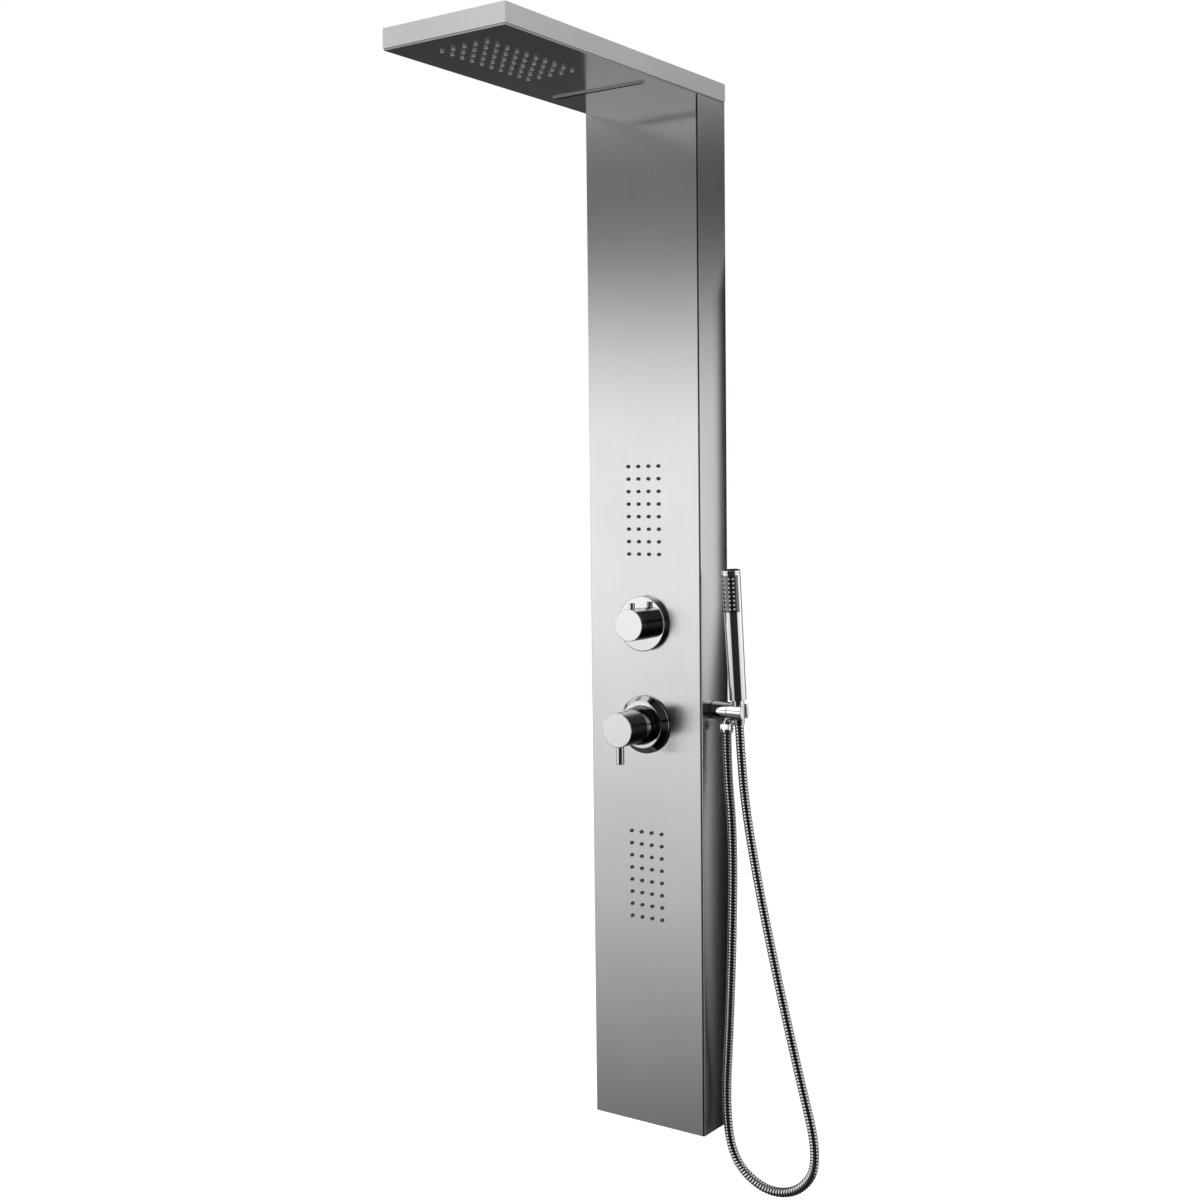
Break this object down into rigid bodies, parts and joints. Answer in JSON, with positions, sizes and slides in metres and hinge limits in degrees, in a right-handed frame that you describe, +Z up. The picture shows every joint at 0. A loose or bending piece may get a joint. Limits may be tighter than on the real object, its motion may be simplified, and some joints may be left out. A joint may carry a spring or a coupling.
{
  "type": "shower panel column",
  "caption": "Wall-hung stainless shower column with a flat overhead shower on a long arm, body jets, a diverter knob, a lever mixer and a hand shower on a metal hose.",
  "frame": {"origin": "middle of the upper wall bracket's two fixing holes, on the wall", "axes": "+X to the viewer's right, +Y into the wall, +Z up"},
  "size_m": [0.3605, 0.5, 1.577],
  "materials": {
    "brushed_stainless": "brushed lengthwise",
    "polished_stainless": "polished",
    "plain_stainless": "plain",
    "chrome_plate": "mirror bright",
    "hose_metal": "bright",
    "brass": "machined",
    "silicone": "soft",
    "grey_spray_plastic": "satin",
    "white_plastic": "moulded",
    "water_tube": "smooth tube"
  },
  "bodies": {
    "root": {"column_shell": "brushed_stainless", "bottom_end_plate": "brushed_stainless", "upper_wall_bracket": "plain_stainless", "lower_wall_bracket": "plain_stainless", "upper_panel_hanger": "plain_stainless", "lower_panel_hanger": "plain_stainless", "bracket_retaining_screws": "plain_stainless", "head_cover": "brushed_stainless", "head_plate": "polished_stainless", "rain_nozzle_mat": "silicone", "rain_chamber": "white_plastic", "waterfall_chamber": "white_plastic", "waterfall_lip": "polished_stainless", "panel_studs": "plain_stainless", "stud_nuts": "plain_stainless", "head_fixing_bolts": "plain_stainless", "head_fixing_nuts": "plain_stainless", "rain_feed_pipe": "water_tube", "waterfall_feed_pipe": "water_tube", "diverter_body": "brass", "diverter_cartridge": "white_plastic", "diverter_lock_nut": "brass", "diverter_flange": "chrome_plate", "mixer_body": "brass", "mixer_cartridge": "white_plastic", "mixer_lock_nut": "brass", "mixer_cartridge_nut": "brass", "mixer_collar": "chrome_plate", "mixer_flange": "chrome_plate", "link_pipe": "brass", "upper_jet_mat": "silicone", "lower_jet_mat": "silicone", "upper_jet_box": "white_plastic", "lower_jet_box": "white_plastic", "upper_jet_pipe": "water_tube", "lower_jet_pipe": "water_tube", "outlet_elbow": "chrome_plate", "outlet_seal": "silicone", "outlet_back_nut": "brass", "handset_feed_pipe": "water_tube", "holder_washer": "white_plastic", "hose": "hose_metal", "hose_nut": "chrome_plate"},
    "diverter_dial": {"diverter_spindle": "brass", "diverter_knob": "chrome_plate", "diverter_pin": "chrome_plate", "diverter_grub_screw": "plain_stainless"},
    "mixer_temperature_stage": {"mixer_carrier": "white_plastic"},
    "mixer_lever": {"mixer_stem": "brass", "mixer_handle": "chrome_plate", "mixer_lever_pin": "chrome_plate", "mixer_grub_screw": "plain_stainless"},
    "holder": {"holder_fork": "chrome_plate", "holder_grub_screw": "plain_stainless"},
    "hand_shower": {"handset_body": "chrome_plate", "handset_nozzle_plate": "grey_spray_plastic", "handset_end_cap": "chrome_plate", "hose_cone_nut": "chrome_plate"}
  },
  "joints": [
    {"name": "diverter_turn", "type": "hinge", "parent": "root", "child": "diverter_dial", "pos_m": [0, -0.095, -0.5854], "axis": [0, -1, 0], "range_deg": [-144, 144]},
    {"name": "mixer_temperature", "type": "hinge", "parent": "root", "child": "mixer_temperature_stage", "pos_m": [0, -0.091, -0.7317], "axis": [0, -1, 0], "range_deg": [-50, 50]},
    {"name": "mixer_flow", "type": "hinge", "parent": "mixer_temperature_stage", "child": "mixer_lever", "pos_m": [0, -0.091, -0.7317], "axis": [-1, 0, 0], "range_deg": [0, 22]},
    {"name": "holder_tilt", "type": "hinge", "parent": "root", "child": "holder", "pos_m": [0.1355, -0.039, -0.70835], "axis": [1, 0, 0], "range_deg": [-20, 20], "deforming": ["hose"]},
    {"name": "handset_turn", "type": "hinge", "parent": "holder", "child": "hand_shower", "pos_m": [0.1355, -0.039, -0.70835], "axis": [0, -0.0958, 0.9954], "range_deg": [-90, 90]}
  ]
}
